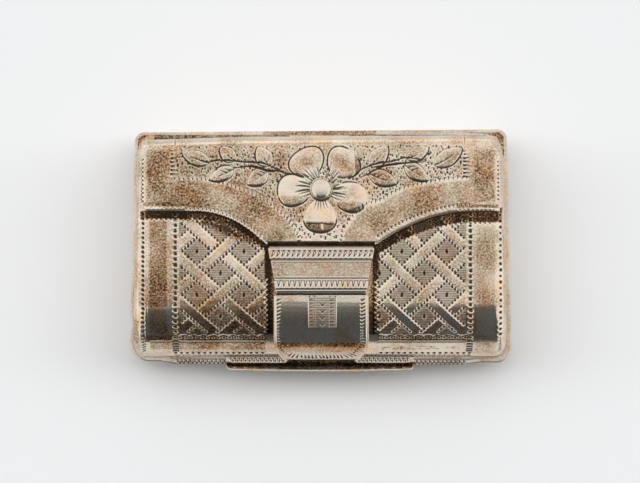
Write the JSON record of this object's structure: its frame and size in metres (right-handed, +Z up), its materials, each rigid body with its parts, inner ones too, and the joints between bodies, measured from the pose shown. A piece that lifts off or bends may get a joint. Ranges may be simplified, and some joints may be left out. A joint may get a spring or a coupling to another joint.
{
  "type": "vinaigrette box",
  "caption": "Small silver vinaigrette shaped as a flap purse, with a hinged engraved lid over a hinged pierced grille and a sponge in the tray.",
  "frame": {"origin": "centre of the flat underside that the closed box rests on", "axes": "+X along the hinge to the box's right, +Y from the thumbpiece towards the hinge, +Z up through the lid"},
  "size_m": [0.032, 0.0202, 0.0097],
  "materials": {
    "silver": "engraved sterling silver, worn bright on the high places and brown with tarnish between",
    "gilt": "fire-gilt silver, satin",
    "sponge": "dry natural sponge"
  },
  "bodies": {
    "base": {"base_tray": "silver", "base_rim": "silver", "base_deck": "gilt", "base_bezel": "gilt", "base_knuckle_centre": "silver", "base_knuckle_left": "silver", "base_knuckle_right": "silver", "hinge_pin": "silver", "grille_hinge_left": "gilt", "grille_hinge_right": "gilt", "grille_pin": "gilt", "sponge": "sponge"},
    "lid": {"lid_shell": "silver", "flap": "silver", "flower_boss": "silver", "strap": "silver", "tongue": "silver", "thumbpiece": "silver", "lid_knuckle_left": "silver", "lid_knuckle_right": "silver"},
    "grille": {"grille_plate": "gilt", "grille_knuckle": "gilt", "grille_tab": "gilt"}
  },
  "joints": [
    {"name": "lid_hinge", "type": "hinge", "parent": "base", "child": "lid", "pos_m": [0, 0.0091, 0.00366], "axis": [-1, 0, 0], "range_deg": [0, 105]},
    {"name": "grille_hinge", "type": "hinge", "parent": "base", "child": "grille", "pos_m": [0, 0.00735, 0.00388], "axis": [-1, 0, 0], "range_deg": [0, 84]}
  ],
  "couplings": [
    {"joint": "grille_hinge", "follows": "lid_hinge", "ratio": 0.8}
  ]
}
